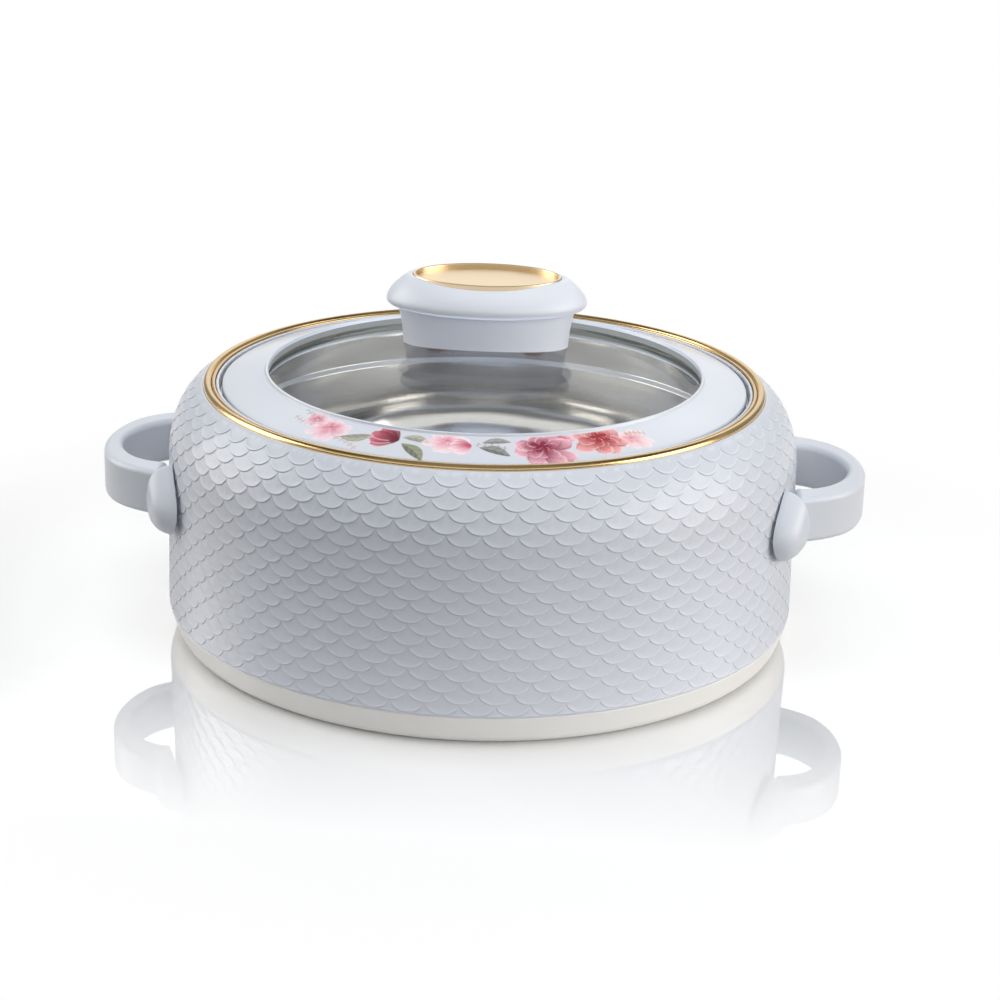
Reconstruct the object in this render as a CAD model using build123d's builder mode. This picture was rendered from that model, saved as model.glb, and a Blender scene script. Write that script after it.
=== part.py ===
from build123d import *
import os
from math import acos, cos, degrees, radians, sin, sqrt

os.makedirs("parts", exist_ok=True)

# Insulated chapati casserole with a lift-off glass lid. Millimetres, Z up.
# Origin on the axis at the floor. X runs through the two side handles.

# ---- body: shell ----
wall_radius = 120.65
wall_draft = 1.15
wall = 2.4
seam_height = 11.4
seam_chamfer = 0.5
shoulder_start = 70.1
shoulder_reach = 19.26
shoulder_rise = 28.16
shoulder_drop = 12.65
wall_foot_radius = wall_radius + wall_draft
shoulder_centre = wall_radius - shoulder_reach
shoulder_edge = wall_radius - shoulder_drop
fit = 0.2
play = 0.3

# ---- gold ring, and the seat and land of the shell that carry it ----
seat_depth = 1.68
seat_step = 0.4
land_thick = 1.4
ring_width = 4.7
ring_wall = 1.1
ring_channel_depth = 1.1
bead_share = 1.4
bead_rise = 3.5
line_rise = 2.8
line_fall = 0.6
bead_foot = 1.2
pin_radius = 0.9
pin_count = 8
edge_height = shoulder_start + shoulder_rise * sqrt(
    1.0 - ((shoulder_edge - shoulder_centre) / shoulder_reach) ** 2
)
seat_radius = shoulder_edge - seat_step
seat_height = edge_height - seat_depth
land_bottom = seat_height - land_thick
ring_outer = seat_radius - fit
ring_inner = ring_outer - ring_width
pin_circle = (ring_outer + ring_inner) / 2

# ---- top collar ----
lip_width = 1.2
lip_rise = 2.3
collar_cover = 1.0
collar_thick = 1.4
collar_skirt = 1.7
collar_skirt_drop = 8.1
lip_outer = ring_inner - fit
lip_inner = lip_outer - lip_width
lip_top = seat_height + lip_rise
collar_outer = ring_outer - collar_cover
flange_bottom = land_bottom - collar_thick
collar_bottom = flange_bottom - collar_thick
pin_bottom = collar_bottom + collar_thick - fit

# ---- steel bowl ----
sheet = 0.7
flange_width = 3.1
flange_rounding = 1.4
step_drop = 13.7
step_fall = 1.8
step_width = 1.5
bowl_taper = 2.8
bowl_lift = 18.7
bowl_corner = 45.0
flange_radius = lip_inner - play
mouth_radius = flange_radius - flange_width
lower_radius = mouth_radius - step_width
floor_radius = lower_radius - bowl_taper
collar_skirt_outer = mouth_radius + collar_skirt
collar_skirt_bottom = flange_bottom - collar_skirt_drop
step_top = flange_bottom - step_drop
step_bottom = step_top - step_fall

# ---- base ----
base_setback = 0.2
foot_taper = 3.6
foot_width = 6.4
foot_rounding = 5.0
base_recess = 2.2
base_floor = 2.4
spigot_wall = 2.2
spigot_rise = 5.2
rib_count = 8
rib_width = 1.6
rib_depth = 1.3
hub_radius = 15.5
fill_hole_radius = 9.0
plug_flange_radius = 12.0
plug_flange = 1.1
base_top_radius = wall_foot_radius - base_setback
foot_outer = base_top_radius - foot_taper
foot_inner = foot_outer - foot_width
base_floor_top = base_recess + base_floor
spigot_top = seam_height + spigot_rise
foam_outer = wall_foot_radius - wall - wall_draft * spigot_rise / (shoulder_start - seam_height)
spigot_outer = foam_outer - play
spigot_inner = spigot_outer - spigot_wall
bowl_bottom = base_floor_top + bowl_lift

# ---- side handles ----
handle_stand = 26.7
handle_half_span = 40.2
strap_thick = 6.8
strap_arm = 13.8
strap_bottom = 50.3
strap_tall = 17.7
strap_rounding = 2.2
lug_angle = 20.5
lug_height = 58.4
lug_tall = 25.4
lug_wide = 26.0
lug_stand = 9.4
lug_belly = 1.95
lug_brow = 5.95
lug_gap = 0.4
lug_gap_growth = 4.6
tenon_radius = 6.0
boss_radius = 10.0
boss_stand = 2.0
pilot_depth = 9.8
screw_radius = 1.9
washer_radius = 8.6
washer_thick = 1.2
head_radius = 4.0
head_thick = 2.4
pocket_margin = 0.7
pocket_depth = 4.8
boss_face = wall_radius - wall - boss_stand
tenon_face = boss_face + play
pilot_radius = screw_radius + fit / 4
pilot_end = boss_face + pilot_depth
washer_face = boss_face - washer_thick
pocket_radius = boss_radius + pocket_margin
pocket_face = boss_face - pocket_depth
lug_out = wall_radius + lug_stand
lug_sections = [
    (wall_radius - wall, 0.95),
    (wall_radius + lug_belly, 1.0),
    (wall_radius + lug_brow, 0.88),
    (lug_out, 0.45),
]
outer_shape = [(0.34, 0.88), (0.69, 0.69), (0.93, 0.35)]
inner_shape = [(0.33, 0.925), (0.69, 0.68), (0.91, 0.36)]

# ---- lid ----
lid_gap = 1.1
seal_thick = 0.9
lid_edge = 3.2
lid_slope = 4.3
lid_slope_width = 16.2
crest_width = 1.0
crest_foot = 0.2
crest_rise = 1.0
window_inset = 0.3
lip_thick = 1.25
lid_wall = 2.0
rib_setback = 4.9
rib_width_lid = 1.6
lid_radius = lip_inner - lid_gap
lid_bottom = flange_bottom + sheet + seal_thick
lid_edge_top = lid_bottom + lid_edge
lid_slope_top = lid_edge_top + lid_slope
lid_slope_inner = lid_radius - lid_slope_width
crest_outer = lid_slope_inner - crest_foot
crest_inner = crest_outer - crest_width
crest_top = lid_slope_top + crest_rise
window_radius = crest_inner - window_inset
rib_inner = window_radius + rib_setback
rib_outer = rib_inner + rib_width_lid
rib_top = lid_edge_top - lid_wall + lid_slope * (lid_radius - rib_outer) / lid_slope_width
lip_bottom = crest_top - lip_thick

# ---- glass, gasket, under ring and seal ----
under_rise = 1.2
glass_thick = 3.0
glass_rim = 6.0
dome_rise = 15.6
gasket_lip = 0.7
gasket_wall = 1.4
gasket_upper_grip = 3.2
gasket_lower_grip = 2.4
under_thick = 1.2
under_reach = 3.2
locating_wall = 1.6
locating_setback = 1.8
locating_drop = 2.7
seal_reach = 3.4
rib_end = lid_bottom + under_rise
glass_edge = rib_inner - gasket_wall
glass_rim_radius = glass_edge - glass_rim
glass_rim_top = rib_end + gasket_lip + glass_thick
lip_underside = glass_rim_top + gasket_lip
dome_top = glass_rim_top + dome_rise
gasket_upper_inner = glass_edge - gasket_upper_grip
gasket_upper_top = lip_underside + (lip_bottom - lip_underside) * (
    (rib_inner - gasket_upper_inner) / rib_setback
)
gasket_lower_inner = glass_edge - gasket_lower_grip
under_inner = rib_inner - under_reach
under_outer = lid_radius - lid_wall - fit
under_bottom = rib_end - under_thick
locating_outer = under_outer - locating_setback
locating_inner = locating_outer - locating_wall
locating_bottom = under_bottom - locating_drop
seal_outer = lid_radius - fit
seal_inner = seal_outer - seal_reach
dome_radius = (glass_rim_radius ** 2 + dome_rise ** 2) / (2.0 * dome_rise)
dome_centre = dome_top - dome_radius

# ---- knob ----
knob_half_length = 32.4
knob_half_width = 18.8
knob_rise = 12.2
knob_flare = 1.4
knob_flare_rise = 6.0
knob_wall = 2.2
knob_roof_thick = 2.0
tip_out = 4.2
tip_rise = 3.1
upper_in = 1.4
upper_rise = 2.9
crown_in = 7.0
crown_rise = 5.8
plate_half_length = 28.2
plate_half_width = 18.5
plate_sink = 2.6
plate_dish = 1.7
plate_proud = 0.5
plate_rim = 1.2
plate_fit = 0.1
cap_roof = 1.6
post_offset = 18.4
post_radius = 5.0
glass_hole_radius = 4.0
grommet_bore = 2.6
grommet_flange_radius = 4.9
grommet_flange = 1.4
knob_screw_radius = 1.9
knob_screw_grip = 8.6
knob_head_radius = 3.6
knob_head_thick = 1.1
neck_half_length = knob_half_length + knob_flare
neck_half_width = knob_half_width + knob_flare
tip_half_length = neck_half_length + tip_out
tip_half_width = neck_half_width + tip_out
upper_half_length = tip_half_length - upper_in
upper_half_width = tip_half_width - upper_in
crown_half_length = upper_half_length - crown_in
crown_half_width = upper_half_width - crown_in
neck_height = dome_top + knob_rise
knob_roof = neck_height - knob_roof_thick
tip_height = neck_height + tip_rise
upper_height = tip_height + upper_rise
crown_height = upper_height + crown_rise
plate_bottom = crown_height - plate_sink
plate_rim_top = crown_height + plate_proud
plate_face = plate_rim_top - plate_dish
cap_hollow_top = plate_bottom - cap_roof
glass_under = dome_centre + sqrt((dome_radius - glass_thick) ** 2 - post_offset ** 2)
flange_face = glass_under - grommet_flange
knob_screw_tip = dome_top + knob_screw_grip

lug_angles = [lug_angle, -lug_angle, 180.0 - lug_angle, 180.0 + lug_angle]


def wall_plane(angle, distance):
    """Upright plane facing out from the axis, at lug height and the given distance."""
    out = (cos(radians(angle)), sin(radians(angle)), 0.0)
    spot = (distance * out[0], distance * out[1], lug_height)
    return Plane(origin=spot, x_dir=(-out[1], out[0], 0.0), z_dir=out)


def shoulder_end(inset, height=None, radius=None):
    """Angle on the shoulder ellipse, inset from its outside, at a height or a radius."""
    if radius is not None:
        return degrees(acos((radius - shoulder_centre) / (shoulder_reach - inset)))
    rise = (height - shoulder_start) / (shoulder_rise - inset)
    return degrees(acos(sqrt(1.0 - rise * rise)))


# ---- outer shell: moulded drum, open below, with a seat for the gold ring ----
with BuildPart() as outer_shell:
    with BuildSketch(Plane.XZ):
        with BuildLine():
            outside = EllipticalCenterArc(
                (shoulder_centre, shoulder_start),
                shoulder_reach,
                shoulder_rise,
                start_angle=0,
                arc_size=shoulder_end(0.0, radius=shoulder_edge),
            )
            inside = EllipticalCenterArc(
                (shoulder_centre, shoulder_start),
                shoulder_reach - wall,
                shoulder_rise - wall,
                start_angle=0,
                arc_size=shoulder_end(wall, height=land_bottom),
            )
            Polyline(
                outside @ 1,
                (seat_radius, (outside @ 1).Y),
                (seat_radius, seat_height),
                (ring_inner, seat_height),
                (ring_inner, land_bottom),
                inside @ 1,
            )
            Polyline(
                inside @ 0,
                (wall_foot_radius - wall, seam_height),
                (wall_foot_radius - seam_chamfer, seam_height),
                (wall_foot_radius, seam_height + seam_chamfer),
                outside @ 0,
            )
        make_face()
    revolve(axis=Axis.Z)
    for angle in lug_angles:
        with BuildSketch(wall_plane(angle, boss_face)):
            Circle(boss_radius)
        extrude(amount=wall_radius - wall / 2 - boss_face)
    for angle in lug_angles:
        with BuildSketch(wall_plane(angle, boss_face - 1.0)):
            Circle(tenon_radius + fit)
        extrude(amount=wall * 4, mode=Mode.SUBTRACT)
    with BuildSketch(Plane.XY.offset(land_bottom - 1.0)):
        with PolarLocations(pin_circle, pin_count):
            Circle(pin_radius + fit / 2)
    extrude(amount=seat_height - land_bottom + 2.0, mode=Mode.SUBTRACT)
outer_shell.part.label = "outer_shell"
export_step(outer_shell.part, "parts/outer_shell.step")

# ---- base cover: dished moulding with a foot ring, ribs and a spigot ----
with BuildPart() as base_cover:
    with BuildSketch(Plane.XZ):
        with BuildLine():
            FilletPolyline(
                (foot_inner, 0.0),
                (foot_outer, 0.0),
                (base_top_radius, seam_height),
                (spigot_outer, seam_height),
                (spigot_outer, spigot_top),
                (spigot_inner, spigot_top),
                (spigot_inner, base_floor_top),
                (fill_hole_radius, base_floor_top),
                (fill_hole_radius, base_recess),
                (foot_inner, base_recess),
                radius=[0.6, foot_rounding, 0.5, 0.0, 0.8, 0.0, 0.0, 0.0, 0.0, 0.8],
                close=True,
            )
        make_face()
    revolve(axis=Axis.Z)
    with BuildSketch(Plane.XY.offset(base_recess - rib_depth)):
        with PolarLocations((foot_inner + hub_radius) / 2, rib_count):
            Rectangle(foot_inner - hub_radius, rib_width)
        Circle(hub_radius + rib_width)
        Circle(hub_radius, mode=Mode.SUBTRACT)
    extrude(amount=rib_depth)
base_cover.part.label = "base_cover"
export_step(base_cover.part, "parts/base_cover.step")

# ---- plug that closes the foam filling hole ----
with BuildPart() as foam_fill_plug:
    with BuildSketch(Plane.XY.offset(base_recess - plug_flange)):
        Circle(plug_flange_radius)
    extrude(amount=plug_flange)
    with BuildSketch(Plane.XY.offset(base_recess)):
        Circle(fill_hole_radius - fit)
        Circle(fill_hole_radius - fit - wall, mode=Mode.SUBTRACT)
    extrude(amount=base_floor)
    fillet(foam_fill_plug.edges().group_by(Axis.Z)[0], 0.5)
foam_fill_plug.part.label = "foam_fill_plug"
export_step(foam_fill_plug.part, "parts/foam_fill_plug.step")

# ---- foam between shell and bowl ----
with BuildPart() as insulation_foam:
    with BuildSketch(Plane.XZ):
        with BuildLine():
            rise = EllipticalCenterArc(
                (shoulder_centre, shoulder_start),
                shoulder_reach - wall,
                shoulder_rise - wall,
                start_angle=0,
                arc_size=shoulder_end(wall, height=collar_bottom),
            )
            Polyline(
                rise @ 1,
                (collar_skirt_outer, collar_bottom),
                (collar_skirt_outer, collar_skirt_bottom),
                (mouth_radius, collar_skirt_bottom),
                (mouth_radius, step_top),
                (lower_radius, step_bottom),
            )
            FilletPolyline(
                (lower_radius, step_bottom),
                (floor_radius, bowl_bottom),
                (0.0, bowl_bottom),
                radius=bowl_corner,
            )
            Polyline(
                (0.0, bowl_bottom),
                (0.0, base_floor_top),
                (spigot_inner, base_floor_top),
                (spigot_inner, spigot_top),
                (foam_outer, spigot_top),
                rise @ 0,
            )
        make_face()
    revolve(axis=Axis.Z)
    for angle in lug_angles:
        with BuildSketch(wall_plane(angle, pocket_face)):
            Circle(pocket_radius)
        extrude(amount=foam_outer - pocket_face + 1.0, mode=Mode.SUBTRACT)
insulation_foam.part.label = "insulation_foam"
export_step(insulation_foam.part, "parts/insulation_foam.step")

# ---- pressed steel bowl: flanged mouth, stacking step, round corner ----
with BuildPart() as inner_bowl:
    with BuildSketch(Plane.XZ):
        with BuildLine():
            FilletPolyline(
                (0.0, bowl_bottom),
                (floor_radius, bowl_bottom),
                (lower_radius, step_bottom),
                (mouth_radius, step_top),
                (mouth_radius, flange_bottom),
                (flange_radius, flange_bottom),
                (flange_radius, flange_bottom + sheet),
                (mouth_radius - sheet, flange_bottom + sheet),
                (mouth_radius - sheet, step_top + sheet / 2),
                (lower_radius - sheet, step_bottom + sheet / 2),
                (floor_radius - sheet, bowl_bottom + sheet),
                (0.0, bowl_bottom + sheet),
                radius=[
                    0.0,
                    bowl_corner,
                    0.0,
                    0.0,
                    0.0,
                    0.0,
                    0.2,
                    flange_rounding,
                    0.8,
                    0.8,
                    bowl_corner - sheet,
                    0.0,
                ],
                close=True,
            )
        make_face()
    revolve(axis=Axis.Z)
inner_bowl.part.label = "inner_bowl"
export_step(inner_bowl.part, "parts/inner_bowl.step")

# ---- top collar: carries the bowl flange and joins it to the shell ----
with BuildPart() as top_collar:
    with BuildSketch(Plane.XZ):
        with BuildLine():
            FilletPolyline(
                (mouth_radius, collar_skirt_bottom),
                (mouth_radius, flange_bottom),
                (lip_inner, flange_bottom),
                (lip_inner, lip_top),
                (lip_outer, lip_top),
                (lip_outer, land_bottom),
                (collar_outer, land_bottom),
                (collar_outer, flange_bottom),
                (lip_outer, collar_bottom),
                (collar_skirt_outer, collar_bottom),
                (collar_skirt_outer, collar_skirt_bottom),
                radius=[0.0, 0.0, 0.0, 0.5, 0.5, 0.0, 0.0, 0.0, 0.0, 0.0, 0.0],
                close=True,
            )
        make_face()
    revolve(axis=Axis.Z)
    with BuildSketch(Plane.XY.offset(collar_bottom - 1.0)):
        with PolarLocations(pin_circle, pin_count):
            Circle(pin_radius + fit / 2)
    extrude(amount=land_bottom - collar_bottom + 2.0, mode=Mode.SUBTRACT)
top_collar.part.label = "top_collar"
export_step(top_collar.part, "parts/top_collar.step")

# ---- gold trim ring: broad outer bead, thin inner line, pins below ----
with BuildPart() as gold_trim_ring:
    with BuildSketch(Plane.XZ):
        with BuildLine():
            foot = Polyline(
                (ring_outer, seat_height + line_rise - bead_foot),
                (ring_outer, seat_height),
                (ring_outer - ring_wall, seat_height),
                (ring_outer - ring_wall, seat_height + ring_channel_depth),
                (ring_inner + ring_wall, seat_height + ring_channel_depth),
                (ring_inner + ring_wall, seat_height),
                (ring_inner, seat_height),
                (ring_inner, seat_height + line_rise - line_fall),
            )
            ThreePointArc(
                (ring_inner, seat_height + line_rise - line_fall),
                (ring_inner + bead_share / 2, seat_height + line_rise),
                (ring_inner + bead_share, seat_height + line_rise - line_fall),
            )
            ThreePointArc(
                (ring_inner + bead_share, seat_height + line_rise - line_fall),
                ((ring_inner + bead_share + ring_outer) / 2, seat_height + bead_rise),
                (ring_outer, seat_height + line_rise - bead_foot),
            )
        make_face()
    revolve(axis=Axis.Z)
    with BuildSketch(Plane.XY.offset(pin_bottom)):
        with PolarLocations(pin_circle, pin_count):
            Circle(pin_radius)
    extrude(amount=seat_height + ring_channel_depth - pin_bottom + fit)
gold_trim_ring.part.label = "gold_trim_ring"
export_step(gold_trim_ring.part, "parts/gold_trim_ring.step")


def handle_solid(side):
    """Loop handle on the +X (1) or -X (-1) side: curved strap, two egg-shaped lugs, tenons."""
    root = wall_radius - boss_stand
    with BuildPart() as loop:
        with BuildSketch(Plane.XY.offset(strap_bottom)):
            with BuildLine():
                outer_line = [(root, handle_half_span)]
                outer_line += [
                    (wall_radius + handle_stand * out, handle_half_span * across)
                    for out, across in outer_shape
                ]
                outer_line += [(wall_radius + handle_stand, 0.0)]
                outer_line += [(x, -y) for x, y in reversed(outer_line[:-1])]
                inner_line = [(root, handle_half_span - strap_arm)]
                inner_line += [
                    (
                        wall_radius + (handle_stand - strap_thick) * out,
                        (handle_half_span - strap_arm) * across,
                    )
                    for out, across in inner_shape
                ]
                inner_line += [(wall_radius + handle_stand - strap_thick, 0.0)]
                inner_line += [(x, -y) for x, y in reversed(inner_line[:-1])]
                Spline(*outer_line)
                Line(outer_line[-1], inner_line[-1])
                Spline(*inner_line)
                Line(inner_line[0], outer_line[0])
            make_face()
        extrude(amount=strap_tall)
        fillet(loop.faces().filter_by(Axis.Z).edges(), strap_rounding)
        with BuildPart(mode=Mode.PRIVATE) as lug:
            for distance, share in lug_sections:
                with BuildSketch(wall_plane(lug_angle, distance)):
                    with BuildLine():
                        Spline(
                            (0.0, share * lug_tall / 2),
                            (share * lug_wide * 0.27, share * lug_tall * 0.27),
                            (share * lug_wide / 2, -share * lug_tall * 0.16),
                            (share * lug_wide * 0.36, -share * lug_tall * 0.40),
                            (0.0, -share * lug_tall / 2),
                            (-share * lug_wide * 0.36, -share * lug_tall * 0.40),
                            (-share * lug_wide / 2, -share * lug_tall * 0.16),
                            (-share * lug_wide * 0.27, share * lug_tall * 0.27),
                            periodic=True,
                        )
                    make_face()
            loft()
        add(lug.part)
        add(mirror(lug.part, about=Plane.XZ))
        with BuildSketch(Plane.XZ):
            Polygon(
                (0.0, seam_height),
                (wall_foot_radius + lug_gap + lug_gap_growth, seam_height),
                (wall_radius + lug_gap, shoulder_start),
                (wall_radius + lug_gap, shoulder_start + shoulder_rise),
                (0.0, shoulder_start + shoulder_rise),
                align=None,
            )
        revolve(axis=Axis.Z, mode=Mode.SUBTRACT)
        for angle in (lug_angle, -lug_angle):
            with BuildSketch(wall_plane(angle, tenon_face)):
                Circle(tenon_radius)
            extrude(amount=pilot_end - tenon_face)
        for angle in (lug_angle, -lug_angle):
            with BuildSketch(wall_plane(angle, tenon_face)):
                Circle(pilot_radius)
            extrude(amount=pilot_end - tenon_face, mode=Mode.SUBTRACT)
    return loop.part if side > 0 else mirror(loop.part, about=Plane.YZ)


# ---- side handles: fixed loops, tenoned through the shell ----
with BuildPart() as handle_right:
    add(handle_solid(1))
handle_right.part.label = "handle_right"
export_step(handle_right.part, "parts/handle_right.step")

with BuildPart() as handle_left:
    add(handle_solid(-1))
handle_left.part.label = "handle_left"
export_step(handle_left.part, "parts/handle_left.step")

# ---- screws and washers inside the shell, one pair to each lug ----
with BuildPart() as handle_screws:
    for angle in lug_angles:
        with BuildSketch(wall_plane(angle, washer_face - head_thick)):
            Circle(head_radius)
        extrude(amount=head_thick)
        with BuildSketch(wall_plane(angle, washer_face)):
            Circle(screw_radius)
        extrude(amount=pilot_end - 1.0 - washer_face)
handle_screws.part.label = "handle_screws"
export_step(handle_screws.part, "parts/handle_screws.step")

with BuildPart() as handle_washers:
    for angle in lug_angles:
        with BuildSketch(wall_plane(angle, washer_face)):
            Circle(washer_radius)
            Circle(screw_radius + fit, mode=Mode.SUBTRACT)
        extrude(amount=washer_thick)
handle_washers.part.label = "handle_washers"
export_step(handle_washers.part, "parts/handle_washers.step")

# ---- lid ring: sloping printed face, raised crest around the window ----
with BuildPart() as lid_ring:
    with BuildSketch(Plane.XZ):
        with BuildLine():
            FilletPolyline(
                (lid_radius, lid_bottom),
                (lid_radius, lid_edge_top),
                (lid_slope_inner, lid_slope_top),
                (crest_outer, crest_top),
                (crest_inner, crest_top),
                (window_radius, lip_bottom),
                (rib_inner, lip_underside),
                (rib_inner, rib_end),
                (rib_outer, rib_end),
                (rib_outer, rib_top),
                (lid_radius - lid_wall, lid_edge_top - lid_wall),
                (lid_radius - lid_wall, lid_bottom),
                radius=[0.0, 0.9, 0.5, 0.3, 0.3, 0.2, 0.0, 0.0, 0.0, 0.4, 0.0, 0.0],
                close=True,
            )
        make_face()
    revolve(axis=Axis.Z)
lid_ring.part.label = "lid_ring"
export_step(lid_ring.part, "parts/lid_ring.step")

# ---- domed glass with a flat rim and two holes for the knob ----
with BuildPart() as lid_glass:
    with BuildSketch(Plane.XZ):
        with BuildLine():
            upper = ThreePointArc(
                (0.0, dome_top),
                (
                    glass_rim_radius / 2,
                    dome_centre + sqrt(dome_radius ** 2 - (glass_rim_radius / 2) ** 2),
                ),
                (glass_rim_radius, glass_rim_top),
            )
            under_radius = dome_radius - glass_thick
            under_edge = sqrt(under_radius ** 2 - (glass_rim_top - glass_thick - dome_centre) ** 2)
            lower = ThreePointArc(
                (0.0, dome_top - glass_thick),
                (
                    under_edge / 2,
                    dome_centre + sqrt(under_radius ** 2 - (under_edge / 2) ** 2),
                ),
                (under_edge, glass_rim_top - glass_thick),
            )
            Line(upper @ 0, lower @ 0)
            Polyline(
                upper @ 1,
                (glass_edge, glass_rim_top),
                (glass_edge, glass_rim_top - glass_thick),
                lower @ 1,
            )
        make_face()
    revolve(axis=Axis.Z)
    with BuildSketch(Plane.XY.offset(glass_rim_top)):
        with Locations((post_offset, 0.0), (-post_offset, 0.0)):
            Circle(glass_hole_radius)
    extrude(amount=dome_top, mode=Mode.SUBTRACT)
lid_glass.part.label = "lid_glass"
export_step(lid_glass.part, "parts/lid_glass.step")

# ---- gasket: U section that grips the rim of the glass ----
with BuildPart() as glass_gasket:
    with BuildSketch(Plane.XZ):
        with BuildLine():
            Polyline(
                (gasket_upper_inner, glass_rim_top),
                (gasket_upper_inner, gasket_upper_top),
                (rib_inner, lip_underside),
                (rib_inner, rib_end),
                (gasket_lower_inner, rib_end),
                (gasket_lower_inner, glass_rim_top - glass_thick),
                (glass_edge, glass_rim_top - glass_thick),
                (glass_edge, glass_rim_top),
                close=True,
            )
        make_face()
    revolve(axis=Axis.Z)
glass_gasket.part.label = "glass_gasket"
export_step(glass_gasket.part, "parts/glass_gasket.step")

# ---- under ring: closes the lid ring, holds the gasket, centres the lid ----
with BuildPart() as lid_under_ring:
    with BuildSketch(Plane.XZ):
        with BuildLine():
            FilletPolyline(
                (under_inner, rib_end),
                (under_outer, rib_end),
                (under_outer, under_bottom),
                (locating_outer, under_bottom),
                (locating_outer, locating_bottom),
                (locating_inner, locating_bottom),
                (locating_inner, under_bottom),
                (under_inner, under_bottom),
                radius=[0.0, 0.0, 0.0, 0.0, 0.6, 0.6, 0.0, 0.4],
                close=True,
            )
        make_face()
    revolve(axis=Axis.Z)
lid_under_ring.part.label = "lid_under_ring"
export_step(lid_under_ring.part, "parts/lid_under_ring.step")

# ---- seal: flat silicone ring between lid and bowl flange ----
with BuildPart() as lid_seal:
    with BuildSketch(Plane.XY.offset(flange_bottom + sheet)):
        Circle(seal_outer)
        Circle(seal_inner, mode=Mode.SUBTRACT)
    extrude(amount=seal_thick)
lid_seal.part.label = "lid_seal"
export_step(lid_seal.part, "parts/lid_seal.step")

# ---- knob body: oval grip, open below, two screw posts inside ----
top_sphere = Solid.make_sphere(dome_radius, Plane((0, 0, dome_centre)), -90, 90, 360)
with BuildPart() as knob_body:
    with BuildSketch(Plane.XY.offset(glass_rim_top)):
        Ellipse(knob_half_length, knob_half_width)
    with BuildSketch(Plane.XY.offset(neck_height - knob_flare_rise)):
        Ellipse(knob_half_length, knob_half_width)
    with BuildSketch(Plane.XY.offset(neck_height)):
        Ellipse(neck_half_length, neck_half_width)
    loft()
    with BuildSketch(Plane.XY.offset(glass_rim_top)):
        Ellipse(knob_half_length - knob_wall, knob_half_width - knob_wall)
    extrude(amount=knob_roof - glass_rim_top, mode=Mode.SUBTRACT)
    with BuildSketch(Plane.XY.offset(glass_rim_top)):
        with Locations((post_offset, 0.0), (-post_offset, 0.0)):
            Circle(post_radius)
    extrude(amount=knob_roof - glass_rim_top + 0.5)
    with BuildSketch(Plane.XY.offset(glass_rim_top)):
        with Locations((post_offset, 0.0), (-post_offset, 0.0)):
            Circle(knob_screw_radius + fit / 4)
    extrude(amount=knob_screw_tip + 1.0 - glass_rim_top, mode=Mode.SUBTRACT)
    add(top_sphere, mode=Mode.SUBTRACT)
knob_body.part.label = "knob_body"
export_step(knob_body.part, "parts/knob_body.step")

# ---- knob cap: lens-shaped top with a recess for the gold plate ----
with BuildPart() as knob_cap:
    with BuildSketch(Plane.XY.offset(neck_height)):
        Ellipse(neck_half_length, neck_half_width)
    with BuildSketch(Plane.XY.offset(tip_height)):
        Ellipse(tip_half_length, tip_half_width)
    with BuildSketch(Plane.XY.offset(upper_height)):
        Ellipse(upper_half_length, upper_half_width)
    with BuildSketch(Plane.XY.offset(crown_height)):
        Ellipse(crown_half_length, crown_half_width)
    loft()
    with BuildSketch(Plane.XY.offset(plate_bottom)):
        Ellipse(plate_half_length + plate_fit, plate_half_width + plate_fit)
    extrude(amount=crown_height, mode=Mode.SUBTRACT)
    with BuildSketch(Plane.XY.offset(neck_height)):
        Ellipse(neck_half_length - knob_wall, neck_half_width - knob_wall)
    extrude(amount=cap_hollow_top - neck_height, mode=Mode.SUBTRACT)
knob_cap.part.label = "knob_cap"
export_step(knob_cap.part, "parts/knob_cap.step")

# ---- gold plate: dished, with a raised rim ----
with BuildPart() as knob_plate:
    with BuildSketch(Plane.XY.offset(plate_bottom)):
        Ellipse(plate_half_length, plate_half_width)
    extrude(amount=plate_rim_top - plate_bottom)
    with BuildSketch(Plane.XY.offset(plate_face)):
        Ellipse(plate_half_length - plate_rim, plate_half_width - plate_rim)
    extrude(amount=plate_rim_top - plate_face, mode=Mode.SUBTRACT)
    fillet(knob_plate.edges().group_by(Axis.Z)[-1], 0.4)
knob_plate.part.label = "knob_plate"
export_step(knob_plate.part, "parts/knob_plate.step")

# ---- grommets that line the two holes in the glass ----
under_sphere = Solid.make_sphere(
    dome_radius - glass_thick, Plane((0, 0, dome_centre)), -90, 90, 360
)
with BuildPart() as knob_grommets:
    with BuildSketch(Plane.XY.offset(flange_face)):
        with Locations((post_offset, 0.0), (-post_offset, 0.0)):
            Circle(grommet_flange_radius)
            Circle(grommet_bore, mode=Mode.SUBTRACT)
    extrude(amount=dome_top - flange_face)
    add(under_sphere, mode=Mode.INTERSECT)
    with BuildSketch(Plane.XY.offset(flange_face)):
        with Locations((post_offset, 0.0), (-post_offset, 0.0)):
            Circle(glass_hole_radius - fit / 2)
            Circle(grommet_bore, mode=Mode.SUBTRACT)
    extrude(amount=grommet_flange + glass_thick - 2 * fit)
knob_grommets.part.label = "knob_grommets"
export_step(knob_grommets.part, "parts/knob_grommets.step")

# ---- flat-headed screws that hold the knob from below ----
with BuildPart() as knob_screws:
    with BuildSketch(Plane.XY.offset(flange_face - knob_head_thick)):
        with Locations((post_offset, 0.0), (-post_offset, 0.0)):
            Circle(knob_head_radius)
    extrude(amount=knob_head_thick)
    fillet(knob_screws.edges().group_by(Axis.Z)[0], 0.4)
    with BuildSketch(Plane.XY.offset(flange_face)):
        with Locations((post_offset, 0.0), (-post_offset, 0.0)):
            Circle(knob_screw_radius)
    extrude(amount=knob_screw_tip - flange_face)
knob_screws.part.label = "knob_screws"
export_step(knob_screws.part, "parts/knob_screws.step")
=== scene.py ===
from math import cos, pi, radians, sin

import bmesh
import bpy
import numpy as np
from mathutils import Matrix, Vector


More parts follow.
